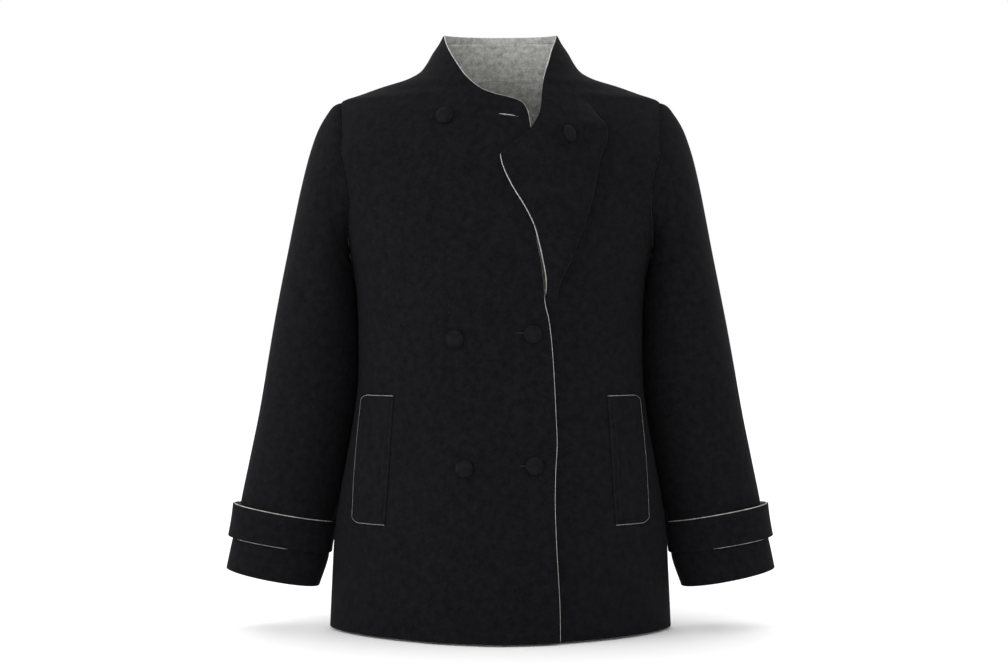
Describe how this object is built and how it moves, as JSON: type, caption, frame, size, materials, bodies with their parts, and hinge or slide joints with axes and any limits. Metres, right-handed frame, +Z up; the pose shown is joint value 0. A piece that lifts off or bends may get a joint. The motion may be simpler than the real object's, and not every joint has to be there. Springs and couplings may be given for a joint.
{
  "type": "double-breasted short coat",
  "caption": "Short double-breasted wool coat, filled out as worn, with a stand collar partly folded open, welt pockets, strapped cuffs and covered buttons.",
  "frame": {"origin": "middle of the neck's base, where the wearer's shoulders carry the coat", "axes": "+Z up, -Y to the wearer's front, -X to the wearer's right"},
  "size_m": [0.6672, 0.2762, 0.7271],
  "materials": {
    "wool": "felted black wool, matt, with a light grey inner face",
    "button": "black cloth drawn over a domed button, matt"
  },
  "bodies": {
    "root": {"back": "wool", "collar_back": "wool", "front_left": "wool", "front_right": "wool", "sleeve_left": "wool", "sleeve_right": "wool", "cuff_strap_left": "wool", "cuff_strap_right": "wool", "pocket_welt_left": "wool", "pocket_welt_right": "wool", "button_top_right": "button", "button_top_left": "button", "button_middle_right": "button", "button_middle_left": "button", "button_low_right": "button", "button_low_left": "button"}
  },
  "joints": []
}
